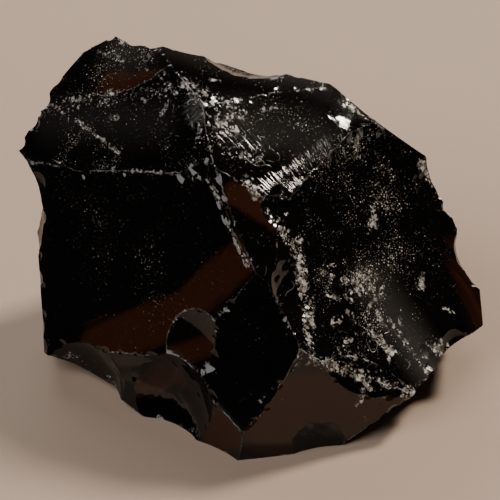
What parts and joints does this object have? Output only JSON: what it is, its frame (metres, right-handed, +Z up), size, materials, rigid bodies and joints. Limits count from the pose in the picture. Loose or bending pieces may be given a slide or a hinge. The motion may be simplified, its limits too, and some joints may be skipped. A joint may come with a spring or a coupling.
{
  "type": "obsidian chunk",
  "caption": "Irregular lump of black volcanic glass bounded by dished and bulging fracture scars, standing on a flat scar.",
  "frame": {"origin": "on the floor under the middle of the stone's bounding box", "axes": "+Z up, +X along the longest side with the lower rounded end, -Y towards the prow and the two large front scars"},
  "size_m": [0.0304, 0.024, 0.0194],
  "materials": {
    "obsidian": "black volcanic glass, glossy on the fracture scars, frosted grey along the crushed edges"
  },
  "bodies": {
    "root": {"obsidian_chunk": "obsidian"}
  },
  "joints": []
}
